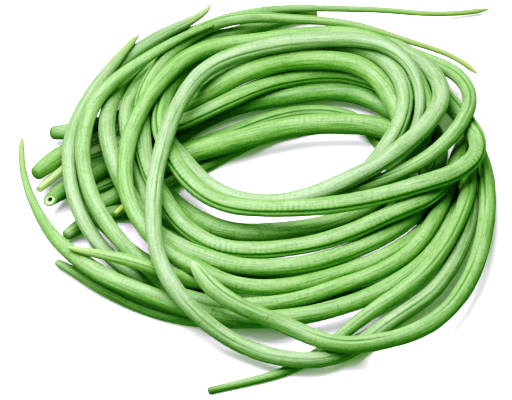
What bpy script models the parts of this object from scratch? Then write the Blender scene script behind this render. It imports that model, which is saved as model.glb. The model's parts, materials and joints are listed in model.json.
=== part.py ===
"""A bunch of yardlong beans, coiled by hand into one loose ring that lies on a table.

Twenty-four slender pods cross each other round an open middle. Some stem ends stick out at the
left, and a few thin tips run out of the ring at the back and the left. Metres, +Z up.
The bunch is seen from the front (looking along +Y) and from above.
"""
import math

import bpy
import numpy as np
from mathutils import Vector

# Driving dimensions, in metres
POD_DIAMETER = 0.0086        # a full pod of ordinary thickness
LAYER_HEIGHT = 0.0085        # rise from one layer of crossing pods to the next
POD_GAP = 0.00045            # clear gap left between neighbouring pods
POINT_SPACING = 0.0095       # distance between the points along a pod

# The ends of a pod: length over which it narrows, the share of its radius left there, and
# how long it stays slim before it fills out (1 fills out evenly, 2 stays slim much longer)
TIP = (0.042, 0.36, 1.0)          # a pointed tip
SLIM_TIP = (0.090, 0.34, 1.0)     # a tip that narrows over a longer stretch
THREAD = (0.200, 0.28, 1.7)       # a long thread-like tip
LONG_THREAD = (0.250, 0.29, 2.0)  # the longest one
LEFT_THREAD = (0.100, 0.34, 2.0)  # the one at the far left
STEM = (0.016, 0.72, 1.0)         # a cut stem end
NECK = (0.060, 0.44, 1.7)         # a slim cut stem end
LONG_NECK = (0.110, 0.48, 1.5)    # a slim end at the front
SLENDER = (0.120, 0.50, 1.0)      # a pod that narrows slowly to a buried end
BLUNT = (0.030, 0.50, 1.0)        # a blunt tip
HIDDEN = (0.030, 0.50, 1.0)       # an end that is buried in the bunch
END_ROUNDNESS = 1.25              # 1 makes the ends straight cones, more bellies them out

# The slanted picture plane that the routes are drawn in
VIEW_ELEVATION = math.radians(48)      # how steeply the plane looks down on the table
STEP = 0.00049                         # real size of one step of a route
MIDDLE_ACROSS = 280                    # the ring's middle, in steps from the left
MIDDLE_DOWN = 180                      # the ring's middle, in steps from the top

SIDES = 8
FACET_TURN = math.pi / SIDES           # turns a flat facet, not an edge, to the table
SEAT = math.cos(FACET_TURN)            # height of a seated pod's centre, in radii

# The clearing rule, which slides the drawn pods apart until none cuts another
CLEARING_PASSES = 900
REFRESH_PASSES = 10                    # passes between two searches for neighbours
SPREAD_START = 1.9                     # layers start this much too far apart
SPREAD_PASSES = 450                    # passes until they have their real spacing
PULL_IN_PICTURE = 0.10                 # pull back to the drawn route, across the view
PULL_IN_DEPTH = 0.02                   # the same along the line of sight
STIFFNESS = 0.35                       # how far a pod evens out its shifts along itself

# Every pod: name, thickness as a share of POD_DIAMETER, first end, last end, and its route.
# A route's points are steps across, steps down, and the layer that the pod lies in there.
PODS = [
    # the topmost pod, round the back and down the left side, then out along the front
    ("pod_front_sweep", 0.95, SLENDER, HIDDEN, [
        (404, 152, 0.9), (411, 140, 1.1), (417, 126, 1.3), (420, 108, 1.8), (418, 90, 2.2),
        (408, 68, 2.5), (393, 54, 2.7), (372, 45, 2.8), (345, 41, 2.8), (318, 41, 2.9),
        (290, 43, 3.0), (262, 48, 3.0), (238, 54, 3.1), (218, 62, 3.1), (201, 73, 3.1),
        (188, 89, 3.2), (177, 108, 3.3), (169, 127, 3.4), (163, 147, 3.4), (157, 168, 3.4),
        (154, 190, 3.4), (153, 213, 3.3), (154, 236, 3.2), (158, 257, 3.0), (166, 275, 2.8),
        (178, 294, 2.5), (192, 310, 2.0), (210, 326, 1.4), (232, 341, 0.8), (256, 352, 0.6),
        (282, 359, 0.6), (310, 361, 0.6), (335, 357, 0.4), (360, 345, 0.3), (382, 327, 0.4),
        (405, 311, 0.6), (428, 296, 0.8), (444, 276, 1.0), (457, 253, 1.0), (465, 230, 1.0),
        (470, 208, 1.0), (472, 190, 0.9), (470, 172, 0.7)]),
    # from a blunt end on top at the front left, round the front and right rim, under the rest
    ("pod_front_top", 0.98, STEM, HIDDEN, [
        (192, 262, 3.0), (198, 272, 3.0), (207, 284, 3.0), (220, 295, 2.8), (237, 305, 2.5),
        (256, 314, 2.1), (275, 321, 1.7), (292, 328, 1.5), (310, 337, 1.4), (330, 344, 1.4),
        (352, 346, 1.3), (376, 343, 1.2), (400, 338, 1.2), (420, 330, 1.2), (440, 318, 1.2),
        (456, 302, 1.1), (469, 281, 1.0), (478, 259, 1.0), (484, 235, 1.0), (487, 212, 1.0),
        (486, 190, 0.9), (484, 172, 0.6), (481, 155, 0.4), (477, 140, 0.3)]),
    # round the back, the left side and the front, just outside the middle
    ("pod_full_turn", 0.90, SLENDER, HIDDEN, [
        (388, 176, 0.8), (400, 168, 1.1), (414, 158, 1.4), (425, 146, 1.5), (431, 130, 1.6),
        (431, 112, 1.8), (427, 92, 2.0), (417, 73, 2.0), (404, 57, 2.0), (388, 46, 2.0),
        (370, 39, 2.0), (345, 37, 2.0), (318, 38, 2.0), (295, 39, 2.1), (275, 41, 2.2),
        (255, 44, 2.3), (232, 45, 2.3), (212, 48, 2.4), (195, 54, 2.5), (180, 63, 2.5),
        (167, 75, 2.6), (156, 88, 2.6), (147, 101, 2.6), (139, 115, 2.6), (132, 130, 2.6),
        (127, 147, 2.6), (124, 165, 2.6), (124, 182, 2.5), (127, 200, 2.4), (133, 216, 2.2),
        (143, 233, 2.0), (156, 250, 1.5), (172, 265, 1.1), (192, 278, 0.9), (215, 287, 0.9),
        (240, 292, 1.0), (265, 292, 1.1), (290, 288, 1.1), (315, 281, 1.1), (340, 271, 1.1),
        (365, 262, 1.1), (385, 252, 1.2), (402, 242, 1.2), (415, 232, 1.2), (428, 218, 1.0),
        (440, 200, 0.8), (450, 180, 0.6)]),
    # from a tip at the back left, down the left side and along the front
    ("pod_left_tip_inner", 0.84, SLIM_TIP, HIDDEN, [
        (214, 24, 2.6), (200, 29, 2.7), (184, 36, 2.8), (168, 45, 2.9), (153, 54, 3.0),
        (138, 63, 3.0), (123, 74, 3.0), (109, 85, 3.0), (97, 98, 2.8), (89, 113, 2.6),
        (84, 130, 2.5), (82, 148, 2.5), (83, 165, 2.5), (87, 182, 2.4), (94, 200, 2.3),
        (104, 218, 2.1), (117, 235, 1.8), (132, 250, 1.4), (148, 264, 1.0), (165, 277, 0.7),
        (185, 289, 0.6), (205, 297, 0.6), (222, 302, 0.7), (240, 304, 0.8), (262, 303, 0.9),
        (290, 300, 1.0), (315, 294, 1.0), (340, 286, 1.0), (365, 279, 1.0), (387, 271, 1.0),
        (407, 260, 1.0), (421, 247, 1.0), (430, 231, 1.0), (437, 215, 0.9), (445, 195, 0.7),
        (451, 175, 0.8), (457, 155, 1.0), (464, 139, 1.0), (467, 122, 0.8)]),
    # the outermost pod at the left, from a tip, then low under the front
    ("pod_left_tip_outer", 0.80, TIP, HIDDEN, [
        (141, 37, 2.0), (133, 46, 2.0), (122, 58, 2.0), (110, 72, 2.0), (98, 87, 2.0),
        (87, 103, 2.0), (78, 120, 2.0), (72, 137, 2.0), (70, 152, 2.0), (69, 167, 2.0),
        (71, 184, 2.0), (75, 202, 1.8), (83, 220, 1.6), (93, 237, 1.3), (105, 252, 0.9),
        (121, 266, 0.6), (141, 279, 0.4), (168, 290, 0.2), (196, 297, 0.1), (226, 301, 0.0),
        (256, 302, 0.0), (286, 298, 0.0), (316, 291, 0.0), (344, 282, 0.0), (370, 273, 0.0)]),
    # a pod whose tip turns up at the back left, otherwise buried under its neighbours
    ("pod_back_tip_curled", 0.78, TIP, HIDDEN, [
        (212, 4, 1.5), (207, 13, 1.5), (197, 20, 1.6), (181, 28, 1.7), (165, 36, 1.8),
        (150, 45, 1.6), (135, 56, 1.4), (120, 69, 1.2), (106, 84, 1.0), (95, 100, 1.0),
        (87, 118, 1.0), (80, 136, 1.0), (77, 155, 1.0), (79, 175, 1.0), (84, 195, 1.0),
        (93, 213, 0.9), (106, 229, 0.8), (121, 243, 0.7), (138, 257, 0.5), (158, 269, 0.4),
        (180, 280, 0.3), (205, 288, 0.2), (232, 292, 0.1)]),
    # the longest tip, out to the back right, then round the left and the front
    ("pod_back_tip_long", 1.00, LONG_THREAD, HIDDEN, [
        (490, 9, 0.2), (472, 12, 0.2), (445, 14, 0.3), (415, 13, 0.5), (385, 10, 0.7),
        (352, 9, 0.9), (320, 8, 1.1), (290, 8, 1.2), (262, 10, 1.3), (238, 14, 1.4),
        (215, 20, 1.4), (193, 29, 1.4), (173, 40, 1.3), (155, 53, 1.3), (138, 66, 1.4),
        (124, 80, 1.6), (114, 95, 1.8), (108, 112, 2.0), (107, 128, 2.0), (109, 144, 2.0),
        (114, 159, 1.8), (120, 174, 1.5), (128, 190, 1.3), (137, 206, 1.2), (148, 223, 1.1),
        (162, 239, 1.2), (180, 250, 1.4), (200, 258, 1.6), (222, 265, 1.6), (248, 269, 1.6),
        (275, 268, 1.6), (300, 266, 1.6), (322, 261, 1.6), (345, 254, 1.5), (365, 246, 1.5),
        (385, 238, 1.5), (403, 228, 1.4), (418, 218, 1.3), (430, 207, 1.1), (441, 193, 0.9),
        (449, 178, 0.7)]),
    # from a blunt end at the back, down the left side, then low under the front
    ("pod_back_blunt", 0.80, STEM, HIDDEN, [
        (318, 16, 0.2), (300, 16, 0.2), (282, 18, 0.2), (265, 24, 0.3), (248, 30, 0.5),
        (228, 34, 0.8), (208, 38, 1.1), (190, 44, 1.3), (173, 52, 1.4), (158, 63, 1.5),
        (145, 76, 1.6), (134, 90, 1.7), (127, 104, 1.7), (124, 120, 1.5), (126, 137, 1.3),
        (130, 154, 1.1), (135, 170, 1.0), (139, 186, 1.0), (141, 202, 1.0), (145, 218, 0.9),
        (153, 234, 0.7), (167, 248, 0.5), (185, 258, 0.5), (205, 266, 0.4), (230, 272, 0.3),
        (258, 274, 0.2), (288, 270, 0.1), (318, 263, 0.0), (348, 252, 0.0), (375, 240, 0.0)]),
    # the tip that leaves the back to the right, then round the left and the inner front
    ("pod_back_tip_right", 0.96, THREAD, HIDDEN, [
        (478, 74, 0.3), (468, 65, 0.3), (455, 57, 0.4), (438, 50, 0.5), (420, 45, 0.6),
        (403, 40, 0.8), (388, 34, 1.0), (368, 28, 1.1), (348, 24, 1.2), (325, 21, 1.3),
        (300, 20, 1.4), (275, 18, 1.5), (250, 18, 1.6), (230, 20, 1.6), (212, 26, 1.6),
        (195, 34, 1.6), (180, 45, 1.6), (167, 58, 1.6), (156, 72, 1.7), (148, 88, 1.8),
        (144, 105, 1.8), (143, 122, 1.8), (143, 138, 1.8), (144, 154, 1.8), (147, 168, 1.8),
        (154, 183, 1.8), (163, 198, 1.8), (171, 212, 1.8), (181, 225, 1.8), (195, 236, 1.7),
        (213, 246, 1.6), (235, 251, 1.6), (262, 252, 1.6), (290, 250, 1.6), (318, 246, 1.6),
        (343, 240, 1.6), (370, 228, 1.6), (395, 216, 1.6), (415, 207, 1.5), (432, 198, 1.3),
        (445, 187, 1.0), (455, 172, 0.8)]),
    # the lit pod round the near side of the middle, up the left and under the back
    ("pod_inner_front", 1.00, HIDDEN, HIDDEN, [
        (385, 48, 0.9), (402, 56, 1.0), (418, 66, 1.1), (431, 77, 1.2), (440, 88, 1.2),
        (448, 99, 1.3), (457, 109, 1.4), (466, 119, 1.6), (474, 131, 1.9), (478, 143, 2.2),
        (476, 156, 2.5), (467, 167, 2.7), (452, 177, 2.8), (433, 185, 2.8), (410, 192, 2.8),
        (385, 198, 2.8), (358, 203, 2.9), (330, 207, 3.0), (300, 209, 3.0), (270, 209, 2.9),
        (245, 208, 2.7), (222, 203, 2.4), (205, 195, 2.4), (191, 183, 2.4), (180, 170, 2.4),
        (171, 156, 2.3), (164, 143, 2.1), (159, 128, 1.9), (158, 113, 1.7), (163, 98, 1.5),
        (171, 84, 1.3), (183, 70, 1.2), (198, 58, 1.2), (217, 51, 1.2), (240, 50, 1.2),
        (265, 47, 1.2)]),
    # the inner rim, over everything at the right
    ("pod_inner_rim", 0.98, HIDDEN, HIDDEN, [
        (215, 76, 0.8), (240, 62, 0.9), (270, 52, 1.0), (300, 45, 1.1), (330, 42, 1.2),
        (355, 42, 1.3), (380, 45, 1.4), (402, 53, 1.6), (420, 65, 1.9), (434, 78, 2.3),
        (441, 93, 2.7), (439, 107, 3.0), (431, 120, 3.1), (418, 134, 3.1), (401, 148, 3.1),
        (384, 161, 3.0), (365, 172, 2.8), (345, 182, 2.5), (325, 190, 2.3), (303, 198, 2.1),
        (280, 203, 2.0), (258, 204, 2.0), (236, 200, 2.0), (217, 193, 2.1), (202, 183, 2.1),
        (189, 169, 1.9), (177, 153, 1.7), (166, 134, 1.4)]),
    # the right-hand pod between the rim and the outside
    ("pod_right_middle", 0.84, HIDDEN, HIDDEN, [
        (290, 205, 1.2), (312, 201, 1.3), (335, 195, 1.5), (355, 189, 1.8), (375, 183, 2.0),
        (395, 176, 2.1), (412, 168, 2.2), (428, 159, 2.3), (443, 148, 2.3), (456, 135, 2.3),
        (466, 122, 2.3), (471, 108, 2.2), (470, 94, 2.0), (462, 81, 1.8), (450, 72, 1.5),
        (435, 65, 1.2), (417, 59, 1.0), (400, 52, 0.8), (380, 46, 0.7), (355, 43, 0.6),
        (325, 44, 0.6), (295, 50, 0.5), (265, 58, 0.5), (238, 69, 0.4), (214, 84, 0.4)]),
    # six pods come in from cut stem ends at the left and line the far side of the middle
    ("pod_far_1", 0.94, STEM, HIDDEN, [
        (50, 133, 0.6), (62, 133, 0.5), (76, 132, 0.4), (92, 129, 0.4), (110, 124, 0.4),
        (130, 117, 0.5), (150, 110, 0.7), (170, 102, 1.0), (186, 94, 1.3), (199, 87, 1.6),
        (212, 79, 1.8), (228, 71, 1.9), (245, 64, 2.0), (262, 58, 2.0), (282, 53, 2.0),
        (303, 49, 2.0), (325, 47, 2.0), (345, 47, 2.1), (362, 50, 2.2), (377, 55, 2.3),
        (390, 64, 2.4), (399, 76, 2.5), (404, 90, 2.5), (405, 105, 2.4), (402, 120, 2.3),
        (396, 134, 2.0), (387, 148, 1.7), (374, 163, 1.3), (357, 176, 1.0), (338, 186, 0.8)]),
    ("pod_far_2", 1.04, STEM, HIDDEN, [
        (35, 175, 0.8), (46, 166, 0.6), (58, 157, 0.5), (72, 150, 0.4), (88, 147, 0.3),
        (104, 139, 0.3), (122, 131, 0.3), (142, 123, 0.4), (163, 115, 0.6), (182, 108, 0.9),
        (200, 99, 1.3), (220, 88, 1.7), (240, 77, 2.0), (262, 69, 2.0), (284, 64, 1.9),
        (306, 61, 1.9), (330, 61, 1.9), (352, 63, 1.8), (368, 68, 1.7), (380, 77, 1.5),
        (389, 88, 1.4), (397, 102, 1.2), (405, 120, 1.0), (411, 138, 0.8), (410, 156, 0.6),
        (400, 173, 0.5), (385, 190, 0.5), (368, 206, 0.6), (350, 216, 0.7), (330, 224, 0.8),
        (305, 229, 0.8), (278, 232, 0.8), (250, 233, 0.8), (225, 231, 0.8), (205, 224, 0.8),
        (190, 215, 0.7), (177, 203, 0.6), (168, 191, 0.4)]),
    ("pod_far_3", 0.90, NECK, HIDDEN, [
        (38, 190, 0.6), (50, 180, 0.5), (62, 168, 0.5), (78, 158, 0.4), (95, 149, 0.3),
        (115, 143, 0.2), (135, 139, 0.2), (155, 134, 0.4), (175, 127, 0.8), (190, 120, 1.2),
        (208, 110, 1.5), (230, 98, 1.6), (255, 87, 1.6), (280, 79, 1.5), (302, 75, 1.5),
        (325, 73, 1.5), (347, 75, 1.5), (364, 80, 1.5), (378, 88, 1.4), (390, 98, 1.2),
        (403, 109, 0.8), (418, 120, 0.6), (432, 133, 0.5), (439, 149, 0.4), (437, 167, 0.3),
        (428, 185, 0.2), (414, 202, 0.1), (394, 216, 0.0), (370, 228, 0.0), (345, 237, 0.0)]),
    ("pod_far_4", 0.96, STEM, HIDDEN, [
        (47, 202, 1.0), (57, 194, 0.7), (69, 187, 0.4), (82, 181, 0.3), (98, 172, 0.3),
        (112, 165, 0.2), (130, 158, 0.1), (150, 150, 0.1), (170, 139, 0.2), (188, 127, 0.3),
        (205, 117, 0.5), (225, 108, 0.7), (250, 100, 0.8), (275, 96, 0.8), (300, 92, 0.8),
        (325, 89, 0.8), (348, 90, 0.8), (366, 95, 0.8), (381, 104, 0.8), (394, 115, 0.7),
        (406, 130, 0.6), (418, 147, 0.3), (427, 165, 0.1), (431, 184, 0.0)]),
    ("pod_far_5", 0.76, HIDDEN, HIDDEN, [
        (75, 193, 0.3), (88, 189, 0.3), (102, 185, 0.3), (117, 181, 0.2), (135, 174, 0.2),
        (152, 166, 0.2), (170, 156, 0.2), (190, 147, 0.2), (208, 141, 0.3), (225, 135, 0.4),
        (245, 127, 0.5), (268, 119, 0.6), (290, 113, 0.6), (312, 110, 0.6), (335, 110, 0.6),
        (355, 113, 0.6), (372, 118, 0.5), (388, 128, 0.4), (402, 142, 0.2), (412, 158, 0.1),
        (415, 176, 0.0), (408, 194, 0.0), (394, 210, 0.0), (374, 222, 0.0), (350, 232, 0.0),
        (322, 240, 0.0)]),
    ("pod_far_6", 1.14, HIDDEN, HIDDEN, [
        (85, 218, 0.0), (98, 212, 0.1), (113, 205, 0.1), (128, 195, 0.1), (145, 184, 0.1),
        (163, 172, 0.3), (183, 161, 0.7), (205, 153, 0.9), (230, 145, 0.9), (252, 139, 0.9),
        (275, 133, 0.9), (300, 129, 0.9), (325, 128, 0.9), (350, 130, 0.8), (372, 134, 0.7),
        (390, 139, 0.5), (405, 149, 0.2), (420, 160, 0.0), (434, 172, 0.0)]),
    # a dark pod low under the far side, with a yellow tip at the left
    ("pod_far_low", 0.82, TIP, HIDDEN, [
        (115, 214, 1.2), (126, 208, 1.0), (141, 199, 0.6), (158, 188, 0.2), (173, 178, 0.0),
        (190, 168, 0.0), (207, 160, 0.0), (224, 152, 0.0), (240, 144, 0.0), (258, 136, 0.0),
        (280, 129, 0.0), (305, 124, 0.0), (330, 123, 0.0), (355, 127, 0.0)]),
    # from the thread-like tip at the far left, thick along the front left, then under the front
    ("pod_left_thread", 0.96, LEFT_THREAD, HIDDEN, [
        (22, 137, 0.2), (21, 150, 0.2), (22, 165, 0.3), (25, 180, 0.3), (30, 195, 0.4),
        (36, 209, 0.5), (44, 223, 0.6), (54, 236, 0.8), (64, 247, 1.0), (75, 256, 1.2),
        (88, 266, 1.4), (103, 275, 1.4), (121, 284, 1.4), (140, 291, 1.3), (158, 298, 1.2),
        (176, 304, 1.1), (196, 311, 1.0), (215, 316, 0.8), (238, 319, 0.7), (262, 319, 0.7),
        (285, 317, 0.9), (305, 315, 1.0), (325, 311, 1.0), (345, 305, 1.0), (365, 298, 1.0),
        (384, 289, 1.0), (402, 278, 1.0), (418, 265, 1.0), (431, 250, 0.9), (442, 233, 0.7),
        (452, 213, 0.5), (460, 190, 0.3)]),
    # the lowest pod along the front left, on the table
    ("pod_floor_tip", 0.80, BLUNT, HIDDEN, [
        (56, 262, 0.2), (65, 266, 0.2), (77, 273, 0.2), (92, 282, 0.2), (108, 291, 0.1),
        (125, 300, 0.0), (142, 307, 0.0), (160, 313, 0.0), (180, 318, 0.0), (202, 321, 0.0),
        (226, 322, 0.0), (252, 322, 0.0), (278, 319, 0.0), (305, 312, 0.0), (335, 303, 0.0),
        (362, 292, 0.0), (388, 278, 0.0), (410, 262, 0.0), (428, 243, 0.0), (441, 220, 0.0),
        (449, 197, 0.0)]),
    # a yellowish pod with its end at the left, over the front-left pods
    ("pod_left_yellow", 0.80, TIP, HIDDEN, [
        (67, 250, 1.4), (80, 254, 1.6), (100, 256, 1.8), (120, 260, 2.0), (140, 265, 2.0),
        (160, 271, 1.7), (178, 277, 1.2), (198, 281, 0.8), (222, 284, 0.5), (245, 285, 0.3),
        (268, 284, 0.2)]),
    # a stem end low at the left, then under the left pods and low along the front of the middle
    ("pod_left_low", 0.88, STEM, HIDDEN, [
        (65, 236, 0.4), (74, 228, 0.3), (84, 220, 0.2), (95, 213, 0.1), (108, 207, 0.0),
        (122, 203, 0.0), (137, 202, 0.2), (152, 205, 0.1), (166, 212, 0.1), (180, 222, 0.1),
        (196, 233, 0.0), (215, 242, 0.0), (236, 247, 0.0), (258, 249, 0.0)]),
    # from the slim blunt end at the very front, under the front pods and up the right side
    ("pod_front_end", 0.90, LONG_NECK, HIDDEN, [
        (208, 391, 0.0), (222, 388, 0.0), (245, 382, 0.0), (268, 377, 0.0), (288, 370, 0.0),
        (305, 362, 0.0), (322, 350, 0.0), (338, 338, 0.1), (352, 326, 0.4), (366, 315, 0.7),
        (380, 305, 0.9), (396, 295, 1.0), (411, 284, 1.1), (425, 271, 1.2), (437, 257, 1.2),
        (448, 241, 1.2), (457, 225, 1.2), (465, 208, 1.2), (469, 192, 1.1), (470, 176, 0.9),
        (470, 160, 0.6), (468, 145, 0.4)]),
]


def place_in_space(drawn, radii, spread):
    """Turn drawn points (across, down, layer) into places above the table."""
    across = (drawn[:, 0] - MIDDLE_ACROSS) * STEP
    up_in_view = (MIDDLE_DOWN - drawn[:, 1]) * STEP
    height = radii * SEAT + drawn[:, 2] * LAYER_HEIGHT * spread
    back = (up_in_view - height * math.cos(VIEW_ELEVATION)) / math.sin(VIEW_ELEVATION)
    return np.stack([across, back, height], axis=1)


def smooth_route(points, samples_per_span=16):
    """Run a Catmull-Rom spline through the route's points."""
    points = np.array(points, dtype=float)
    padded = np.vstack([2 * points[0] - points[1], points, 2 * points[-1] - points[-2]])
    curve = []
    for a, b, c, d in zip(padded, padded[1:], padded[2:], padded[3:]):
        for k in range(samples_per_span):
            t = k / samples_per_span
            curve.append(0.5 * (2 * b + (c - a) * t + (2 * a - 5 * b + 4 * c - d) * t * t
                                + (3 * b - a - 3 * c + d) * t * t * t))
    curve.append(points[-1])
    return np.array(curve)


def length_along(places):
    """Distance from the first point to each point."""
    steps = places[1:] - places[:-1]
    lengths = np.sqrt(steps[:, 0] ** 2 + steps[:, 1] ** 2 + steps[:, 2] ** 2)
    return np.concatenate([[0.0], np.cumsum(lengths)])


def evenly_spaced(drawn, radius):
    """Read the route off at even distances, ironed once, and give the distances too."""
    along = length_along(place_in_space(drawn, np.full(len(drawn), radius), 1.0))
    count = max(6, round(along[-1] / POINT_SPACING) + 1)
    wanted = np.linspace(0.0, along[-1], count)
    route = np.stack([np.interp(wanted, along, drawn[:, k]) for k in range(3)], axis=1)
    route[1:-1] = 0.25 * route[:-2] + 0.5 * route[1:-1] + 0.25 * route[2:]
    return route, wanted


def end_share(distance, end):
    """Share of the full radius at some distance from an end."""
    taper, share, slimness = end
    t = np.clip(distance / taper, 0.0, 1.0) ** slimness
    return share + (1.0 - share) * (1.0 - (1.0 - t) ** END_ROUNDNESS)


def pod_radii(along, thickness, first_end, last_end):
    """Radius at each point: full along the middle, narrower towards both ends."""
    shares = np.minimum(end_share(along, first_end), end_share(along[-1] - along, last_end))
    return 0.5 * POD_DIAMETER * thickness * shares


def segment_pairs(places, radii, owners, firsts, reach):
    """Pairs of pod segments near enough to meet, leaving out neighbours on the same pod."""
    middles = 0.5 * (places[firsts] + places[firsts + 1])
    gaps = middles[:, None, :] - middles[None, :, :]
    near = (gaps ** 2).sum(axis=2) < reach ** 2
    first, second = np.nonzero(np.triu(near, 1))
    same_pod = owners[firsts[first]] == owners[firsts[second]]
    keep = ~same_pod | (np.abs(first - second) > 5)
    return firsts[first[keep]], firsts[second[keep]]


def closest_points(p0, p1, q0, q1):
    """Shares along two segments at which they come closest."""
    u = p1 - p0
    v = q1 - q0
    w = p0 - q0
    uu = (u * u).sum(axis=1)
    vv = (v * v).sum(axis=1)
    uv = (u * v).sum(axis=1)
    uw = (u * w).sum(axis=1)
    vw = (v * w).sum(axis=1)
    s = np.clip((uv * vw - vv * uw) / np.maximum(uu * vv - uv * uv, 1e-14), 0.0, 1.0)
    t = np.clip((uv * s + vw) / vv, 0.0, 1.0)
    s = np.clip((uv * t - uw) / uu, 0.0, 1.0)
    return s, t


def push_apart(places, radii, pairs, strength):
    """Move every pair of segments that is too close apart along the line between them."""
    i, j = pairs
    s, t = closest_points(places[i], places[i + 1], places[j], places[j + 1])
    on_first = places[i] * (1 - s)[:, None] + places[i + 1] * s[:, None]
    on_second = places[j] * (1 - t)[:, None] + places[j + 1] * t[:, None]
    apart = on_first - on_second
    distance = np.sqrt((apart * apart).sum(axis=1))
    wanted = radii[i] * (1 - s) + radii[i + 1] * s + radii[j] * (1 - t) + radii[j + 1] * t + POD_GAP
    hit = distance < wanted
    direction = apart[hit] / np.maximum(distance[hit], 1e-9)[:, None]
    step = direction * (0.5 * strength * (wanted - distance)[hit])[:, None]
    moved = np.zeros_like(places)
    weight = np.zeros(len(places))
    for index, share, sign in ((i, 1 - s, 1), (i + 1, s, 1), (j, 1 - t, -1), (j + 1, t, -1)):
        near_end = np.maximum(share[hit], 0.15)
        np.add.at(moved, index[hit], sign * step * near_end[:, None])
        np.add.at(weight, index[hit], near_end)
    places += moved / np.maximum(weight, 0.6)[:, None] * 1.4
    return float((wanted - distance)[hit].max()) if hit.any() else 0.0


def even_out(shift, spans, strength):
    """Smooth the shifts along each pod, so that a push bends it gently."""
    for start, stop in spans:
        part = shift[start:stop]
        ends = np.vstack([2 * part[0] - part[1], part, 2 * part[-1] - part[-2]])
        shift[start:stop] = part + strength * (0.5 * (ends[:-2] + ends[2:]) - part)


def clear_of_each_other(drawn, radii, owners, spans):
    """Slide the pods along, over and under each other until they only just clear."""
    firsts = np.array([k for start, stop in spans for k in range(start, stop - 1)])
    places = place_in_space(drawn, radii, SPREAD_START)
    up_in_view = np.array([0.0, math.sin(VIEW_ELEVATION), math.cos(VIEW_ELEVATION)])
    into_view = np.array([0.0, math.cos(VIEW_ELEVATION), -math.sin(VIEW_ELEVATION)])
    reach = POINT_SPACING + 2.2 * POD_DIAMETER
    pairs = None
    for k in range(CLEARING_PASSES):
        share = min(1.0, k / SPREAD_PASSES)
        route = place_in_space(drawn, radii, SPREAD_START + (1.0 - SPREAD_START) * share)
        ease = 1.0 if k < CLEARING_PASSES * 0.75 else max(0.0, (CLEARING_PASSES * 0.97 - k)
                                                          / (CLEARING_PASSES * 0.22))
        shift = places - route
        for _ in range(3):
            even_out(shift, spans, STIFFNESS * (0.15 + 0.85 * min(1.0, ease)))
        sideways = shift[:, 0].copy()
        upward = (shift * up_in_view).sum(axis=1)
        depth = (shift * into_view).sum(axis=1)
        shift[:, 0] -= PULL_IN_PICTURE * ease * sideways
        shift -= PULL_IN_PICTURE * ease * upward[:, None] * up_in_view
        shift -= PULL_IN_DEPTH * ease * depth[:, None] * into_view
        places = route + shift
        if k % REFRESH_PASSES == 0:
            pairs = segment_pairs(places, radii, owners, firsts, reach)
        for _ in range(2):
            deepest = push_apart(places, radii, pairs, 1.0)
        places[:, 2] = np.maximum(places[:, 2], radii * SEAT)
    print("deepest cut left, mm:", round(deepest * 1000, 3), "points:", len(places))
    return places


def make_material(name, colour):
    material = bpy.data.materials.new(name)
    material.use_nodes = True
    shader = material.node_tree.nodes["Principled BSDF"]
    shader.inputs["Base Color"].default_value = (*colour, 1.0)
    shader.inputs["Roughness"].default_value = 0.45
    shader.inputs["Metallic"].default_value = 0.0
    return material


def make_pod(name, places, radii, material, collection, parent):
    """One pod: a round-sectioned curve whose radius follows the taper."""
    middle = places[len(places) // 2]
    curve = bpy.data.curves.new(name, "CURVE")
    curve.dimensions = "3D"
    curve.twist_mode = "Z_UP"
    curve.bevel_depth = 0.5 * POD_DIAMETER
    curve.bevel_resolution = (SIDES - 4) // 2
    curve.use_fill_caps = True
    spline = curve.splines.new("POLY")
    spline.points.add(len(places) - 1)
    for point, place, radius in zip(spline.points, places - middle, radii):
        point.co = (*place, 1.0)
        point.radius = radius / curve.bevel_depth
        point.tilt = FACET_TURN
    curve.materials.append(material)
    pod = bpy.data.objects.new(name, curve)
    pod.location = middle
    pod.parent = parent
    collection.objects.link(pod)
    return pod


def stand_on_origin(pods):
    """Slide the bunch so that the middle of its footprint is the origin."""
    bpy.context.view_layer.update()
    corners = [pod.matrix_world @ Vector(corner) for pod in pods for corner in pod.bound_box]
    middle_across = 0.5 * (min(c.x for c in corners) + max(c.x for c in corners))
    middle_back = 0.5 * (min(c.y for c in corners) + max(c.y for c in corners))
    for pod in pods:
        pod.location.x -= round(middle_across, 5)
        pod.location.y -= round(middle_back, 5)
    bpy.context.view_layer.update()


def build_bunch():
    collection = bpy.data.collections.new("yardlong_bean_bunch")
    bpy.context.scene.collection.children.link(collection)
    bunch = bpy.data.objects.new("bunch_origin", None)
    collection.objects.link(bunch)

    drawn, radii, owners, spans = [], [], [], []
    for number, (name, thickness, first_end, last_end, points) in enumerate(PODS):
        route, along = evenly_spaced(smooth_route(points), 0.5 * POD_DIAMETER * thickness)
        start = sum(len(part) for part in drawn)
        drawn.append(route)
        radii.append(pod_radii(along, thickness, first_end, last_end))
        owners.append(np.full(len(route), number))
        spans.append((start, start + len(route)))

    radii = np.concatenate(radii)
    owners = np.concatenate(owners)
    places = np.round(clear_of_each_other(np.vstack(drawn), radii, owners, spans), 5)

    pods = []
    for (start, stop), (name, *_) in zip(spans, PODS):
        material = make_material(name + "_skin", (0.32, 0.56, 0.16))
        pods.append(make_pod(name, places[start:stop], radii[start:stop], material, collection, bunch))
    stand_on_origin(pods)


for leftover in list(bpy.data.objects):
    bpy.data.objects.remove(leftover)
build_bunch()
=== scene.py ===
"""A bunch of yardlong beans on a pale table, seen from the front and above.

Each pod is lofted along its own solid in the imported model: a nearly round section with two
seams, fine lengthwise ridges, slight swellings over the seeds, and its own kind of end.
"""
import json
import math

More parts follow.
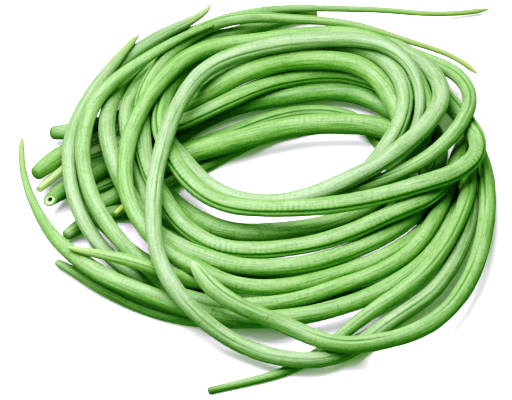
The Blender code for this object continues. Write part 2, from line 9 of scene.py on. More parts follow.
import bmesh
import bpy
import numpy as np
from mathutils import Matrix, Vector


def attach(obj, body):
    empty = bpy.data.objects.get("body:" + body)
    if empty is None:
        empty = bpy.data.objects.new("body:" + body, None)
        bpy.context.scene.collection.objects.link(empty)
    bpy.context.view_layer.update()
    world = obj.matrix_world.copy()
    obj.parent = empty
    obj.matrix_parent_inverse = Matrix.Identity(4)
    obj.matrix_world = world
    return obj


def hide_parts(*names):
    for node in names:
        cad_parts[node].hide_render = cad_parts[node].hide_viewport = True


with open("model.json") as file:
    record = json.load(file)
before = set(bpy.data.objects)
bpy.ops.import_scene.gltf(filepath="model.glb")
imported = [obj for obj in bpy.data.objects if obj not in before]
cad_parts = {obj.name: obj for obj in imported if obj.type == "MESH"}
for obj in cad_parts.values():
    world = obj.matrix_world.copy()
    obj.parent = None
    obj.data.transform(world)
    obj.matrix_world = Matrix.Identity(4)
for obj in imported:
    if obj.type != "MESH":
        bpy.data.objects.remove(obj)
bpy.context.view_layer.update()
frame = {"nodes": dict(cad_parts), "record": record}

# Shape of a pod: lengths in metres, angles round it in radians, depths as shares of its radius
SIDES = 40
RING_STEP = 0.0012
FINE_STEP = 0.0008               # on the wrinkled pods
CROWDING = 0.55                  # draws the points round a pod towards its two seams
FULLNESS = 1.030                 # radius of the skin against the solid's corners
OVAL = 0.025
SEAM_DEPTH = (0.066, 0.044)      # upper seam, lower seam
SEAM_WIDTH = 0.12
SEAM_WANDER = 0.10
SEAM_WANDER_LENGTH = 0.17
STRONG_SEAM = 1.6                # strength from which a seam hardly fades along the pod
FADING_LENGTHS = (0.07, 0.13)
STEADY_SHARE = (0.62, 0.85)      # the share of a weaker and of a strong seam that doesn't fade
LIP_OFFSET = 0.34                # from the seam to the lip beside it
LIP_WIDTH = 0.17
LIP_HEIGHT = 0.35                # share of the seam's depth
SEED_SPACING = 0.0150
SEED_SWELLING = 0.018
RIDGES = 9
RIDGE_DEPTH = 0.007
RIDGE_BENDS = (0.05, 0.12)
UNEVENNESS = 0.046
UNEVEN_LENGTHS = (0.018, 0.07)
FINE_UNEVENNESS = 0.005
FINE_LENGTHS = (0.0034, 0.0070)
WRINKLE_LENGTHS = (0.0023, 0.0031)
WRINKLE_OFFSET = 0.42            # from the seam to the middle of the wrinkles
WRINKLE_PATCHES = 0.085
# painted shade in the hollows between the wrinkles
HOLLOW_PAINTED_SHADE = 11.0
TORN_DEPTH = 0.16
TORN_REACH = 0.0035
TORN_LENGTHS = (0.003, 0.007)
LEAN_REACH = 7.0                 # radii over which a leaning cut draws the skin back
FLOOR_CLEARANCE = 0.00008
LEAST_GAP = 0.0004               # between the even rings and the extra ones at an end
SAME_PLANE = 0.97                # cosine between two faces of one flat end
SHAPE_SEED = 4100
COLOUR_SEED = 7300
RING_MIDDLE = Vector((0.011, 0.015, 0.0))

# The camera: where it aims, how steeply it looks down, and the width that it takes in
AIM = Vector((-0.0005, -0.0067, 0.010))
ELEVATION = math.radians(48)
VIEW_WIDTH = 0.2509
DISTANCE = 2.0

# Lamps: place, size and power, in metres and watts, and the fill from all round
TOP_LIGHT = ((-0.20, 0.10, 1.0), 0.90, 25.8)
LEFT_LIGHT = ((-0.75, -0.35, 0.7), 1.20, 4.8)
FILL_COLOUR = (0.47, 1.0, 0.28)
FILL_STRENGTH = 0.36
FLOOR_SIZE = 6.0
FLOOR_COLOUR = (1.75, 1.38, 1.95)  # its tint offsets the green fill, so it looks neutral

# Tones of the render: the curve gives deeper gaps between the pods and brighter middle tones
GAMMA = 0.82
TONE_CURVE = ((0.028, 0.012), (0.07, 0.058), (0.13, 0.155), (0.26, 0.34), (0.48, 0.585),
              (0.72, 0.775), (0.90, 0.895))

# Marks on a skin: their scale round the pod, the share of it along the pod, their detail and
# their roughness
BROAD_STREAKS = (240, 0.14, 4, 0.6)
FINE_STREAKS = (1500, 0.045, 4, 0.55)
CROSS_MARKS = (420, 2.2, 3, 0.55)
FLECKS = (1500, 0.75, 3, 0.7)

# How a skin takes the light
SUBSURFACE_WEIGHT = 0.45
SUBSURFACE_RADIUS = (0.30, 1.0, 0.16)
SUBSURFACE_SCALE = 0.0035
SPECULAR_LEVEL = 0.58
COAT_WEIGHT = 0.10
COAT_ROUGHNESS = 0.38
SHEEN_WEIGHT = 0.08
SHEEN_ROUGHNESS = 0.50
BUMP_STRENGTH = 0.80
BUMP_DISTANCE = 0.00035

# Skin colours, linear: the darker and the lighter streaks of a kind of pod
SKINS = {
    "green": ((0.088, 0.250, 0.019), (0.178, 0.345, 0.084)),
    "pale": ((0.128, 0.275, 0.055), (0.230, 0.358, 0.158)),
    "yellowish": ((0.105, 0.265, 0.020), (0.190, 0.345, 0.080)),
    "deep": ((0.050, 0.180, 0.010), (0.108, 0.262, 0.038)),
}
BLOOM_AND_SHEEN = (0.300, 0.380, 0.265)    # the whitish bloom on the paler stretches, with painted sheen on the sides that face up
LIGHTER = (1.18, 1.14, 1.28)     # shares of the lighter colour in the palest marks
DARKER = (0.42, 0.60, 0.30)      # shares of the darker colour in the deepest marks
SLOT_SKIN = {"pod_green": "green", "pod_pale": "pale",
             "pod_yellow_green": "yellowish", "pod_deep_green": "deep"}
FLESH = (0.48, 0.60, 0.33)
END_COLOURS = {
    "cream": (0.46, 0.50, 0.25),
    "yellow": (0.52, 0.56, 0.13),
    "lime": (0.22, 0.35, 0.085),
    "leaf": (0.075, 0.185, 0.028),
    "sage": (0.20, 0.30, 0.13),
    "olive": (0.24, 0.33, 0.065),
    "straw": (0.34, 0.44, 0.16),
    # painted shade: the near-black inside of a hollow end
    "hole_shade": (0.010, 0.018, 0.006),
    "pale": (0.42, 0.53, 0.30),
}

# How much more whitish bloom than the least, or how much less, a pod has at the right, the back,
# the left and the front of the ring. This paleness is partly painted light: paler where the
# light falls on the ring, less pale where the ring lies in shade. The bloom lies on the side
# that faces up, so it also paints a sheen there
LEAST_BLOOM_AND_SHEEN = 0.34
BLOOM_AND_SHEEN_GAIN = 0.6
PAINTED_SHEEN_SIDE = np.array([-0.15, -0.34, 0.93])
PALENESS = {
    "pod_front_sweep": (0.35, 0.70, 1.00, 0.30), "pod_front_top": (0.15, 0.30, 0.80, 0.55),
    "pod_full_turn": (0.05, -0.25, 0.20, 0.0), "pod_left_tip_inner": (0.05, 0.45, 0.45, 0.15),
    "pod_left_tip_outer": (0.10, 0.30, 0.40, 0.10), "pod_back_tip_curled": (0.2, 0.9, 0.9, 0.2),
    "pod_back_tip_long": (0.20, 0.50, 0.85, 0.10), "pod_back_blunt": (0.20, 0.65, 0.45, 0.05),
    "pod_back_tip_right": (0.15, 0.50, 0.70, 0.20), "pod_inner_front": (0.70, 0.20, 0.15, 0.15),
    "pod_inner_rim": (0.60, 0.45, 0.20, 0.55), "pod_right_middle": (0.45, 0.35, 0.10, 0.20),
    "pod_far_1": (0.15, -0.20, -0.20, 0.0), "pod_far_2": (0.10, -0.30, 0.0, 0.0),
    "pod_far_3": (0.10, -0.10, 0.60, 0.10), "pod_far_4": (0.0, -0.30, 0.0, 0.0),
    "pod_far_5": (0.05, -0.10, -0.10, 0.0), "pod_far_6": (0.10, -0.20, -0.35, 0.10),
    "pod_left_thread": (0.10, 0.10, 0.20, 0.25), "pod_front_end": (0.15, 0.10, 0.10, 0.20),
    "pod_floor_tip": (0.10, 0.10, 0.40, 0.40),
}
EVEN_PALENESS = (0.10, 0.10, 0.10, 0.10)

# Each pod's shown end: its form, its colour, how far that colour reaches, in metres, and the
# slant of its cut in degrees, towards the side that faces up and to the front
ENDS = {
    "pod_front_top": ("torn", "pale", 0.007, 20),
    "pod_left_tip_inner": ("tip", "cream", 0.018, 0),
    "pod_left_tip_outer": ("tip", "lime", 0.016, 0),
    "pod_back_tip_curled": ("tip", "cream", 0.014, 0),
    "pod_back_tip_long": ("tip", "lime", 0.045, 0),
    "pod_back_blunt": ("cut", "straw", 0.012, 10),
    "pod_back_tip_right": ("tip", "olive", 0.050, 0),
    "pod_far_1": ("blunt", "leaf", 0.003, 0),
    "pod_far_2": ("blunt", "leaf", 0.004, 0),
    "pod_far_3": ("cut", "straw", 0.034, 15),
    "pod_far_4": ("hollow", "hole_shade", 0.0, 40),
    "pod_far_low": ("blunt", "yellow", 0.020, 0),
    "pod_left_thread": ("tip", "lime", 0.022, 0),
    "pod_floor_tip": ("blunt", "sage", 0.006, 0),
    "pod_left_yellow": ("tip", "straw", 0.014, 0),
    "pod_left_low": ("blunt", "sage", 0.004, 0),
    "pod_front_end": ("blunt", "leaf", 0.006, 0),
}

# Place of a seam round the pod, in degrees outwards from the side that faces the viewer, at the
# pod's two ends, and how strongly its seams show
SEAMS = {
    "pod_front_sweep": (10, -24, 0.9), "pod_front_top": (-30, -18, 1.3),
    "pod_full_turn": (30, 88, 0.7), "pod_left_tip_inner": (75, 95, 0.6),
    "pod_left_tip_outer": (30, 85, 0.6), "pod_back_tip_curled": (10, 40, 0.7),
    "pod_back_tip_long": (60, 35, 0.8), "pod_back_blunt": (20, 60, 0.8),
    "pod_back_tip_right": (64, 32, 2.1), "pod_inner_front": (50, 14, 2.2),
    "pod_inner_rim": (20, 78, 0.7), "pod_right_middle": (48, -30, 1.2),
    "pod_far_1": (80, 20, 1.2), "pod_far_2": (84, 96, 0.6), "pod_far_3": (-20, -42, 1.6),
    "pod_far_4": (70, 92, 0.6), "pod_far_5": (0, 18, 1.6), "pod_far_6": (85, 72, 0.6),
    "pod_far_low": (0, 30, 0.8), "pod_left_thread": (60, 88, 0.7),
    "pod_floor_tip": (-20, 30, 0.9), "pod_left_yellow": (0, 10, 0.7),
    "pod_left_low": (0, 30, 0.8), "pod_front_end": (-35, 20, 1.0),
}
VIEW_SIDE = np.array([0.0, -math.cos(ELEVATION), math.sin(ELEVATION)])

# Pods with small cross wrinkles beside a seam, and the depth of those as a share of the radius
WRINKLED = {"pod_inner_front": 0.075, "pod_back_tip_right": 0.045, "pod_back_tip_long": 0.030,
            "pod_far_6": 0.025, "pod_far_4": 0.020}


def welded(node):
    """Points and faces of a node's mesh, with the points in one place joined."""
    mesh = frame["nodes"][node].data
    keys = {}
    index = []
    for v in mesh.vertices:
        key = tuple(round(c, 6) for c in v.co)
        index.append(keys.setdefault(key, len(keys)))
    faces = [[index[i] for i in p.vertices] for p in mesh.polygons]
    return np.array(list(keys)), [f for f in faces if len(set(f)) >= 3]


def steps_from(near, start):
    """Steps over the mesh from some points to every other point."""
    steps = {i: 0 for i in start}
    front = list(start)
    while front:
        after = []
        for i in front:
            for j in sorted(near[i]):
                if j not in steps:
                    steps[j] = steps[i] + 1
                    after.append(j)
        front = after
    return steps


def pod_rings(node):
    """The rings of points along a pod's solid, from its shown end to its other end."""
    points, faces = welded(node)
    near = [set() for _ in points]
    for f in faces:
        for a, b in zip(f, f[1:] + f[:1]):
            near[a].add(b)
            near[b].add(a)
    steps = steps_from(near, [0])
    far = max(steps, key=lambda i: (steps[i], i))
    # The points a few steps in from the far end show which way that end faces
    local = steps_from(near, [far])
    inner = [i for i, s in local.items() if 3 <= s <= 5]
    outward = points[far] - points[inner].mean(axis=0)
    normals = []
    for f in faces:
        n = np.cross(points[f[1]] - points[f[0]], points[f[2]] - points[f[0]])
        normals.append(n / max(np.linalg.norm(n), 1e-15))
    own = [k for k, f in enumerate(faces) if far in f]
    first = max(own, key=lambda k: float(normals[k] @ outward))
    cap = set(faces[first])
    grown = True
    while grown:
        grown = False
        for f, n in zip(faces, normals):
            joined = not set(f) <= cap and len(set(f) & cap) >= 2
            if joined and n @ normals[first] > SAME_PLANE:
                cap |= set(f)
                grown = True
    rings = [sorted(cap)]
    seen = set(cap)
    while True:
        ring = {j for i in rings[-1] for j in near[i]} - seen
        if not ring:
            break
        rings.append(sorted(ring))
        seen |= ring
    rings = [points[r] for r in rings]
    ends = [rings[0].mean(axis=0), rings[-1].mean(axis=0)]
    if node == "pod_front_top":
        turned = ends[1][2] > ends[0][2]
    else:
        away = [math.hypot(e[0] - RING_MIDDLE.x, e[1] - RING_MIDDLE.y) for e in ends]
        turned = away[1] > away[0]
    return rings[::-1] if turned else rings


def catmull_rom(rows, per_span=12):
    """A smooth run of values through the given rows."""
    padded = np.vstack([2 * rows[0] - rows[1], rows, 2 * rows[-1] - rows[-2]])
    run = []
    for a, b, c, d in zip(padded, padded[1:], padded[2:], padded[3:]):
        for k in range(per_span):
            t = k / per_span
            run.append(0.5 * (2 * b + (c - a) * t + (2 * a - 5 * b + 4 * c - d) * t * t
                              + (3 * b - a - 3 * c + d) * t * t * t))
    run.append(rows[-1])
    return np.array(run)


def pod_line(node, step):
    """Even steps along a pod: distance, centre and radius."""
    rings = pod_rings(node)
    centres = np.array([r.mean(axis=0) for r in rings])
    radii = np.array([np.linalg.norm(r - c, axis=1).mean() for r, c in zip(rings, centres)])
    run = catmull_rom(np.column_stack([centres, radii]))
    lengths = np.linalg.norm(np.diff(run[:, :3], axis=0), axis=1)
    along = np.concatenate([[0.0], np.cumsum(lengths)])
    count = int(along[-1] / step) + 1
    wanted = np.linspace(0.0, along[-1], count)
    even = np.column_stack([np.interp(wanted, along, run[:, k]) for k in range(4)])
    return wanted, even[:, :3], even[:, 3]


def rounding(share):
    """Share of the radius left by a round end, at a share of its reach from the tip."""
    t = np.clip(share, 0.0, 1.0)
    return np.sqrt(np.clip(1.0 - (1.0 - t) ** 2, 0.0, 1.0))


def end_form(form, distance, radius):
    """Share of the radius left at some distance from an end of a given form."""
    if form == "tip":
        return np.clip(distance / (5.0 * radius), 0.0, 1.0) ** 0.55
    if form == "hidden":
        return rounding(distance / radius)
    if form == "blunt":
        return 0.42 + 0.58 * rounding(distance / (0.7 * radius))
    if form == "torn":
        return 0.50 + 0.50 * np.clip(distance / (3.4 * radius), 0.0, 1.0) ** 0.75
    return 0.86 + 0.14 * rounding(distance / (0.30 * radius))


def end_stations(form, radius):
    """Extra distances close to an end, where its form turns quickly."""
    if form == "tip":
        return radius * np.array([0.0, 0.02, 0.06, 0.14, 0.28, 0.5, 0.8])
    if form in ("hidden", "blunt"):
        return radius * np.array([0.0, 0.02, 0.08, 0.18, 0.34, 0.55, 0.8])
    return radius * np.array([0.0, 0.02, 0.06, 0.12, 0.20, 0.30, 0.42])


def with_stations(wanted, extra_first, extra_last):
    """Even distances with the extra ones at both ends let in."""
    total = wanted[-1]
    last = (total - extra_last)[::-1]
    middle = wanted[(wanted > extra_first[-1] + LEAST_GAP) & (wanted < last[0] - LEAST_GAP)]
    return np.concatenate([extra_first, middle, last])


def wrapped(angle):
    """An angle brought to between minus and plus pi."""
    return (angle + np.pi) % (2 * np.pi) - np.pi


def waves(rng, along, around, count, lengths, turns):
    """Smooth unevenness over a pod: a sum of seeded waves along and around it."""
    total = np.zeros_like(around)
    for _ in range(count):
        pitch = rng.uniform(*lengths)
        turn = rng.integers(turns[0], turns[1] + 1)
        phase = rng.uniform(0, 2 * np.pi)
        total += np.sin(2 * np.pi * along / pitch + turn * around + phase)
    return total / math.sqrt(count)


def pod_course(node, form):
    """Distances along a pod, and its line, radius and directions there.

    The directions are ahead, up and side, which points out of the ring.
    """
    wanted, centres, radii = pod_line(node, FINE_STEP if node in WRINKLED else RING_STEP)
    stations = with_stations(wanted, end_stations(form, radii[0]),
                             end_stations("hidden", radii[-1]))
    centre = np.column_stack([np.interp(stations, wanted, centres[:, k]) for k in range(3)])
    ahead = np.gradient(centre, stations, axis=0)
    for _ in range(2):
        ahead[1:-1] = (ahead[:-2] + 2 * ahead[1:-1] + ahead[2:]) / 4
    ahead /= np.linalg.norm(ahead, axis=1)[:, None]
    up = np.array([0.0, 0.0, 1.0]) - ahead * ahead[:, 2:3]
    up /= np.linalg.norm(up, axis=1)[:, None]
    side = np.cross(ahead, up)
    away = centre - np.array([RING_MIDDLE.x, RING_MIDDLE.y, 0.0])
    if (side * away).sum() < 0:
        side = -side
    return stations, centre, radii, np.interp(stations, wanted, radii), ahead, up, side


def seam_turn(rng, node, stations, up, side):
    """The angle round the pod at which its upper seam runs, at each distance."""
    first, last, _ = SEAMS[node]
    share = stations / stations[-1]
    facing = np.unwrap(np.arctan2((side * VIEW_SIDE).sum(axis=1), (up * VIEW_SIDE).sum(axis=1)))
    turn = facing + np.radians(first + (last - first) * share)
    wander = 2 * np.pi * stations / SEAM_WANDER_LENGTH + rng.uniform(0, 6.28)
    return turn + SEAM_WANDER * np.sin(wander)


def relief(rng, node, along, around):
    """The skin's height as a share of the radius, how near the seams and lips are, and the
    painted shade in the wrinkle hollows, added to the seams.
    """
    skin = np.ones_like(around)
    strength = SEAMS[node][2]
    # The seams fade in and out along a pod, least where they are strong
    steady = STEADY_SHARE[0] if strength < STRONG_SEAM else STEADY_SHARE[1]
    fading = np.sin(2 * np.pi * along / rng.uniform(*FADING_LENGTHS) + rng.uniform(0, 6.28))
    fading = steady + (1.0 - steady) * fading
    strength = strength * fading
    seam_and_hollow_shade = np.zeros_like(around)
    lip_near = np.zeros_like(around)
    for middle, depth in ((0.0, SEAM_DEPTH[0]), (np.pi, SEAM_DEPTH[1])):
        gap = wrapped(around - middle)
        groove = np.exp(-(gap / SEAM_WIDTH) ** 2)
        lips = np.exp(-((np.abs(gap) - LIP_OFFSET) / LIP_WIDTH) ** 2)
        skin += depth * strength * (LIP_HEIGHT * lips - groove)
        seam_and_hollow_shade = np.maximum(seam_and_hollow_shade, groove * strength)
        lip_near = np.maximum(lip_near, lips * strength)
    skin += OVAL * np.cos(2 * around)
    seeds = 0.5 + 0.5 * np.cos(2 * np.pi * along / SEED_SPACING + rng.uniform(0, 6.28))
    skin += SEED_SWELLING * (seeds - 0.5) * np.sin(around) ** 2
    bends = waves(rng, along, around, 3, RIDGE_BENDS, (0, 1))
    skin += RIDGE_DEPTH * np.sin(RIDGES * around + bends)
    skin += UNEVENNESS * waves(rng, along, around, 5, UNEVEN_LENGTHS, (-2, 2)) / 2
    skin += FINE_UNEVENNESS * waves(rng, along, around, 5, FINE_LENGTHS, (-2, 2))
    wrinkles = WRINKLED.get(node, 0.0)
    if wrinkles:
        ticks = waves(rng, along, around, 3, WRINKLE_LENGTHS, (0, 0))
        beside = np.exp(-((wrapped(around) + WRINKLE_OFFSET) / WRINKLE_OFFSET) ** 2)
        patches = 2 * np.pi * along / WRINKLE_PATCHES + rng.uniform(0, 6.28)
        patches = 0.5 + 0.5 * np.sin(patches)
        skin += wrinkles * ticks * beside * (0.35 + 0.65 * patches)
        # Painted shade: the hollows between the wrinkles are darkened like the seam
        hollow_shade = HOLLOW_PAINTED_SHADE * wrinkles * np.clip(-ticks, 0.0, 1.1) * beside
        seam_and_hollow_shade = np.clip(seam_and_hollow_shade + hollow_shade * (0.2 + 0.8 * patches), 0.0, 1.6)
    return skin, seam_and_hollow_shade, lip_near


def lean_cut(points, centre, ahead, size, stations, slant):
    """Points with the cut at the first end leaning: drawn back most on one side."""
    facing_side = VIEW_SIDE - ahead[0] * float(VIEW_SIDE @ ahead[0])
    facing_side /= np.linalg.norm(facing_side)
    share_round = ((points[0] - centre[0]) @ facing_side) / size[0]
    drawn_back = math.tan(math.radians(abs(slant))) * size[0]
    drawn_back = drawn_back * (1.0 + math.copysign(1.0, slant) * share_round)
    fade = np.clip(1.0 - stations / (LEAN_REACH * size[0]), 0.0, 1.0) ** 1.6
    return points + (fade[:, None] * drawn_back[None, :])[:, :, None] * ahead[0]


def bloom_and_sheen_over(node, centre, angle, up, side):
    """How much whitish bloom and painted sheen lies on each point of a pod, most on the side
    that faces up.
    """
    heading = np.arctan2(centre[:, 1] - RING_MIDDLE.y, centre[:, 0] - RING_MIDDLE.x)
    sides = [np.clip(np.cos(heading - k * np.pi / 2), 0.0, 1.0) ** 2 for k in range(4)]
    bloom_and_sheen = sum(w * v for w, v in zip(sides, PALENESS.get(node, EVEN_PALENESS)))
    bloom_and_sheen = np.clip(LEAST_BLOOM_AND_SHEEN + BLOOM_AND_SHEEN_GAIN * bloom_and_sheen, 0.0, 1.0)
    # Painted sheen: the bloom is made strongest on the side that faces up
    outward_part = (np.cos(angle) * (up @ PAINTED_SHEEN_SIDE)[:, None]
                    + np.sin(angle) * (side @ PAINTED_SHEEN_SIDE)[:, None])
    return bloom_and_sheen[:, None] * np.clip(0.15 + 0.85 * outward_part, 0.0, 1.0)


def end_profile(form, r):
    """What closes a shown end: rings of (share of radius, depth, tint, flesh), then a point."""
    # A hollow end: a ring of flesh, then a deep hole coloured with painted shade
    if form == "hollow":
        return [(0.93, -0.03 * r, 0, 0), (0.80, -0.02 * r, 0, 0.15), (0.70, 0.0, 0, 1),
                (0.38, 0.03 * r, 0, 1), (0.32, 0.14 * r, 1, 0.1), (0.30, 0.8 * r, 1, 0),
                (0.24, 1.3 * r, 1, 0), (0, 1.35 * r, 1, 0)]
    if form == "cut":
        return [(0.92, -0.03 * r, 1, 0.5), (0.70, 0.0, 1, 0.8), (0.40, 0.10 * r, 1, 0.6),
                (0, 0.16 * r, 1, 0.4)]
    if form == "blunt":
        return [(0.7, -0.06 * r, 1, 0.0), (0.4, -0.08 * r, 1, 0.0), (0, -0.09 * r, 1, 0.0)]
    if form == "torn":
        return [(0.90, 0.10 * r, 1, 0.9), (0.62, 0.55 * r, 1, 1), (0.35, 0.95 * r, 1, 0.9),
                (0, 1.1 * r, 1, 0.8)]
    return [(0, 0.0, 1, 0)]


def close_end(build, ring, profile, inward):
    """Add the points and faces of a profile inside one of a skin's rings."""
    rim = build["points"][ring]
    heart = rim.mean(axis=0)
    depth_here = build["stations"][ring]
    paleness = float(build["bloom_and_sheen"][ring].mean())
    last = [ring * SIDES + j for j in range(SIDES)]
    for spread, depth, tint, flesh in profile[:-1]:
        now = []
        for j in range(SIDES):
            place = heart + (rim[j] - heart) * spread + inward * depth
            spot = build["spots"][ring * SIDES + j]
            now.append(len(build["vertices"]))
            build["vertices"].append(place.tolist())
            build["values"].append([tint, flesh, 0.0, 0.0])
            build["blooms_and_sheen"].append(paleness)
            build["spots"].append([spot[0] * spread, spot[1] * spread, depth_here + depth])
        for j in range(SIDES):
            m = (j + 1) % SIDES
            build["faces"].append((last[j], last[m], now[m], now[j]))
        last = now
    _, depth, tint, flesh = profile[-1]
    build["vertices"].append((heart + inward * depth).tolist())
    build["values"].append([tint, flesh, 0.0, 0.0])
    build["blooms_and_sheen"].append(paleness)
    build["spots"].append([0.0, 0.0, float(depth_here + depth)])
    for j in range(SIDES):
        m = (j + 1) % SIDES
        build["faces"].append((last[j], last[m], len(build["vertices"]) - 1))


def skin_object(node, build):
    """A skin's mesh object, with the attributes that its material reads."""
    for v in build["vertices"]:
        v[2] = max(v[2], FLOOR_CLEARANCE)
    mesh = bpy.data.meshes.new(node + "_skin")
    mesh.from_pydata(build["vertices"], [], build["faces"])
    mesh.validate()
    outward = bmesh.new()
    outward.from_mesh(mesh)
    bmesh.ops.recalc_face_normals(outward, faces=outward.faces)
    outward.to_mesh(mesh)
    outward.free()
    for name, kind, field, numbers in (("pod_values", "FLOAT_COLOR", "color", "values"),
                                       ("pod_bloom_and_sheen", "FLOAT", "value", "blooms_and_sheen"),
                                       ("pod_place", "FLOAT_VECTOR", "vector", "spots")):
        attribute = mesh.attributes.new(name, kind, "POINT")
        attribute.data.foreach_set(field, np.array(build[numbers], dtype=np.float32).ravel())
    mesh.shade_smooth()
    piece = bpy.data.objects.new(node + "_skin", mesh)
    bpy.context.scene.collection.objects.link(piece)
    return piece


def loft_pod(node, number):
    """The pod's skin as a mesh object, and the colour of its shown end."""
    rng = np.random.default_rng(SHAPE_SEED + number)
    form, colour, reach, slant = ENDS.get(node, ("hidden", "lime", 0.0, 0))
    stations, centre, radii, radius, ahead, up, side = pod_course(node, form)
    turn = seam_turn(rng, node, stations, up, side)
    base = np.linspace(0, 2 * np.pi, SIDES, endpoint=False)
    base = base - 0.5 * CROWDING * np.sin(2 * base)
    around = np.repeat(base[None, :], len(stations), axis=0)
    along = np.repeat(stations[:, None], SIDES, axis=1)
    skin, seam_and_hollow_shade, lip_near = relief(rng, node, along, around)
    size = radius * FULLNESS
    size = size * end_form(form, stations, radii[0])
    size = size * end_form("hidden", stations[-1] - stations, radii[-1])
    if form == "torn":
        ragged = np.abs(waves(rng, along, around, 5, TORN_LENGTHS, (2, 7)))
        ragged = 1.0 - TORN_DEPTH * ragged
        near_end = np.exp(-stations / TORN_REACH)[:, None]
        skin = skin * (1 + (ragged - 1) * near_end)
    angle = around + turn[:, None]
    reachout = size[:, None] * skin
    points = (centre[:, None, :] + (reachout * np.cos(angle))[:, :, None] * up[:, None, :]
              + (reachout * np.sin(angle))[:, :, None] * side[:, None, :])
    if slant:
        points = lean_cut(points, centre, ahead, size, stations, slant)
    bloom_and_sheen = bloom_and_sheen_over(node, centre, angle, up, side)
    tint = np.exp(-(along / reach) ** 1.6) if reach else np.zeros_like(around)
    values = np.stack([tint, np.zeros_like(around), seam_and_hollow_shade, lip_near], axis=2)
    full = float(radii.max())
    spots = np.stack([np.cos(around) * full, np.sin(around) * full, along], axis=2)
    build = {
        "points": points, "stations": stations, "bloom_and_sheen": bloom_and_sheen,
        "vertices": points.reshape(-1, 3).tolist(), "values": values.reshape(-1, 4).tolist(),
        "blooms_and_sheen": bloom_and_sheen.ravel().tolist(), "spots": spots.reshape(-1, 3).tolist(), "faces": [],
    }
    for k in range(len(stations) - 1):
        for j in range(SIDES):
            m = (j + 1) % SIDES
            build["faces"].append((k * SIDES + j, k * SIDES + m,
                                   (k + 1) * SIDES + m, (k + 1) * SIDES + j))
    close_end(build, 0, end_profile(form, float(radii[0])), ahead[0])
    close_end(build, len(stations) - 1, [(0, 0.0, 0, 0)], -ahead[-1])
    return skin_object(node, build), END_COLOURS[colour]


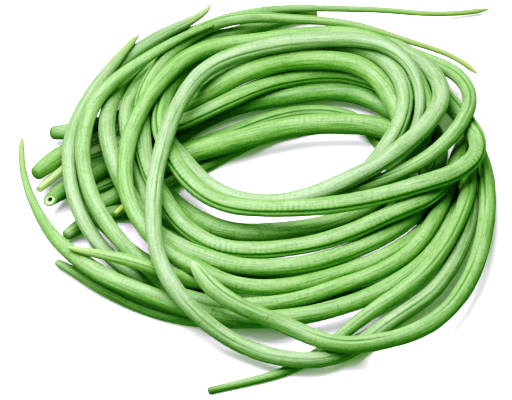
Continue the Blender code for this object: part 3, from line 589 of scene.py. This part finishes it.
def skin_material(name, colours, end_colour, number):
    """A pod's skin: streaks along it, fine flecks, pale seams, a whitish bloom with painted
    sheen on its upper side, painted shade in its wrinkle hollows, and a tinted end.
    """
    rng = np.random.default_rng(COLOUR_SEED + number)
    material = bpy.data.materials.new(name)
    material.use_nodes = True
    nodes = material.node_tree.nodes
    links = material.node_tree.links
    shader = nodes["Principled BSDF"]
    place = nodes.new("ShaderNodeAttribute")
    place.attribute_name = "pod_place"
    values = nodes.new("ShaderNodeAttribute")
    values.attribute_name = "pod_values"
    parts = nodes.new("ShaderNodeSeparateColor")
    links.new(values.outputs["Color"], parts.inputs[0])
    bloom_and_sheen = nodes.new("ShaderNodeAttribute")
    bloom_and_sheen.attribute_name = "pod_bloom_and_sheen"
    offset = float(rng.uniform(0, 50))

    def marks(scale, along, detail, rough):
        """Noise over the pod, drawn out along it or across it."""
        mapping = nodes.new("ShaderNodeMapping")
        mapping.inputs["Scale"].default_value = (scale, scale, scale * along)
        mapping.inputs["Location"].default_value = (offset, offset, offset)
        links.new(place.outputs["Vector"], mapping.inputs["Vector"])
        noise = nodes.new("ShaderNodeTexNoise")
        noise.inputs["Scale"].default_value = 1.0
        noise.inputs["Detail"].default_value = detail
        noise.inputs["Roughness"].default_value = rough
        links.new(mapping.outputs["Vector"], noise.inputs["Vector"])
        return noise.outputs["Fac"]

    def ramp(source, low, high, dark, bright):
        """A value from dark to bright where the source goes from low to high."""
        node = nodes.new("ShaderNodeMapRange")
        node.inputs["From Min"].default_value = low
        node.inputs["From Max"].default_value = high
        node.inputs["To Min"].default_value = dark
        node.inputs["To Max"].default_value = bright
        links.new(source, node.inputs["Value"])
        return node.outputs["Result"]

    def mix(factor, first, second):
        """Two colours mixed, each of them fixed or another node's output."""
        node = nodes.new("ShaderNodeMix")
        node.data_type = "RGBA"
        links.new(factor, node.inputs["Factor"])
        for value, socket in ((first, node.inputs[6]), (second, node.inputs[7])):
            if isinstance(value, tuple):
                socket.default_value = (*value, 1.0)
            else:
                links.new(value, socket)
        return node.outputs[2]

    def times(first, second):
        """A value times a number or another value."""
        node = nodes.new("ShaderNodeMath")
        node.operation = "MULTIPLY"
        links.new(first, node.inputs[0])
        if isinstance(second, float):
            node.inputs[1].default_value = second
        else:
            links.new(second, node.inputs[1])
        return node.outputs[0]

    dark, light = colours
    broad = marks(*BROAD_STREAKS)
    fine = marks(*FINE_STREAKS)
    cross = marks(*CROSS_MARKS)
    flecks = marks(*FLECKS)
    pale = tuple(min(1.0, c * share + 0.024) for c, share in zip(light, LIGHTER))
    deep = tuple(c * share for c, share in zip(dark, DARKER))
    colour = mix(ramp(broad, 0.36, 0.62, 0.0, 1.0), dark, light)
    # Whitish bloom with painted sheen on the sides that face up
    colour = mix(times(bloom_and_sheen.outputs["Fac"], ramp(broad, 0.30, 0.66, 0.55, 0.95)), colour, BLOOM_AND_SHEEN)
    colour = mix(ramp(fine, 0.50, 0.66, 0.0, 0.70), colour, pale)
    colour = mix(ramp(fine, 0.49, 0.32, 0.0, 0.72), colour, deep)
    colour = mix(ramp(cross, 0.55, 0.68, 0.0, 0.42), colour, deep)
    colour = mix(ramp(flecks, 0.55, 0.68, 0.0, 0.55), colour, pale)
    colour = mix(ramp(flecks, 0.45, 0.33, 0.0, 0.58), colour, deep)
    # The dark seams, with painted shade in the hollows between the wrinkles
    colour = mix(times(parts.outputs[2], 0.92), colour, deep)
    colour = mix(times(values.outputs["Alpha"], 0.22), colour, pale)
    colour = mix(times(parts.outputs[0], ramp(broad, 0.2, 0.7, 0.70, 1.0)), colour, end_colour)
    colour = mix(parts.outputs[1], colour, FLESH)
    links.new(colour, shader.inputs["Base Color"])
    links.new(ramp(flecks, 0.3, 0.7, 0.48, 0.68), shader.inputs["Roughness"])
    shader.inputs["Subsurface Weight"].default_value = SUBSURFACE_WEIGHT
    shader.inputs["Subsurface Radius"].default_value = SUBSURFACE_RADIUS
    shader.inputs["Subsurface Scale"].default_value = SUBSURFACE_SCALE
    shader.inputs["Specular IOR Level"].default_value = SPECULAR_LEVEL
    shader.inputs["Coat Weight"].default_value = COAT_WEIGHT
    shader.inputs["Coat Roughness"].default_value = COAT_ROUGHNESS
    shader.inputs["Sheen Weight"].default_value = SHEEN_WEIGHT
    shader.inputs["Sheen Roughness"].default_value = SHEEN_ROUGHNESS
    bump = nodes.new("ShaderNodeBump")
    bump.inputs["Strength"].default_value = BUMP_STRENGTH
    bump.inputs["Distance"].default_value = BUMP_DISTANCE
    grain = nodes.new("ShaderNodeMath")
    grain.operation = "ADD"
    links.new(fine, grain.inputs[0])
    links.new(times(cross, 0.8), grain.inputs[1])
    links.new(grain.outputs[0], bump.inputs["Height"])
    links.new(bump.outputs["Normal"], shader.inputs["Normal"])
    return material


slots = {p["node"]: p["material_slot"] for p in frame["record"]["subparts"]}
for number, node in enumerate(sorted(frame["nodes"])):
    pod, end_colour = loft_pod(node, number)
    colours = SKINS[SLOT_SKIN[slots[node]]]
    pod.data.materials.append(skin_material(node + "_look", colours, end_colour, number))
    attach(pod, "root")
    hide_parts(node)

# A plain pale floor
bpy.ops.mesh.primitive_plane_add(size=FLOOR_SIZE, location=(0.0, 0.0, 0.0))
floor = bpy.context.object
floor.name = "floor"
paper = bpy.data.materials.new("pale_floor")
paper.use_nodes = True
paper_shader = paper.node_tree.nodes["Principled BSDF"]
paper_shader.inputs["Base Color"].default_value = (*FLOOR_COLOUR, 1.0)
paper_shader.inputs["Roughness"].default_value = 0.9
paper_shader.inputs["Specular IOR Level"].default_value = 0.1
floor.data.materials.append(paper)
floor.visible_diffuse = False
floor.visible_glossy = False

# Soft studio light: a green fill, a large panel above and behind, a weaker one at the left
world = bpy.data.worlds.new("studio")
bpy.context.scene.world = world
world.use_nodes = True
world.node_tree.nodes["Background"].inputs["Color"].default_value = (*FILL_COLOUR, 1.0)
world.node_tree.nodes["Background"].inputs["Strength"].default_value = FILL_STRENGTH


def panel(name, place, size, power):
    """A square area light that faces the bunch."""
    data = bpy.data.lights.new(name, "AREA")
    data.shape = "SQUARE"
    data.size = size
    data.energy = power
    light = bpy.data.objects.new(name, data)
    light.location = place
    light.rotation_euler = (-Vector(place)).to_track_quat("-Z", "Y").to_euler()
    bpy.context.scene.collection.objects.link(light)


panel("top_light", *TOP_LIGHT)
panel("left_light", *LEFT_LIGHT)

# The camera looks along +Y and down, from far enough away to show no perspective
data = bpy.data.cameras.new("camera")
data.type = "ORTHO"
data.ortho_scale = VIEW_WIDTH
camera = bpy.data.objects.new("camera", data)
camera.location = AIM + DISTANCE * Vector((0.0, -math.cos(ELEVATION), math.sin(ELEVATION)))
camera.rotation_euler = (math.pi / 2 - ELEVATION, 0.0, 0.0)
bpy.context.scene.collection.objects.link(camera)
bpy.context.scene.camera = camera

view = bpy.context.scene.view_settings
view.view_transform = "Standard"
view.gamma = GAMMA
view.use_curve_mapping = True
for shade, shown in TONE_CURVE:
    view.curve_mapping.curves[3].points.new(shade, shown)
view.curve_mapping.update()
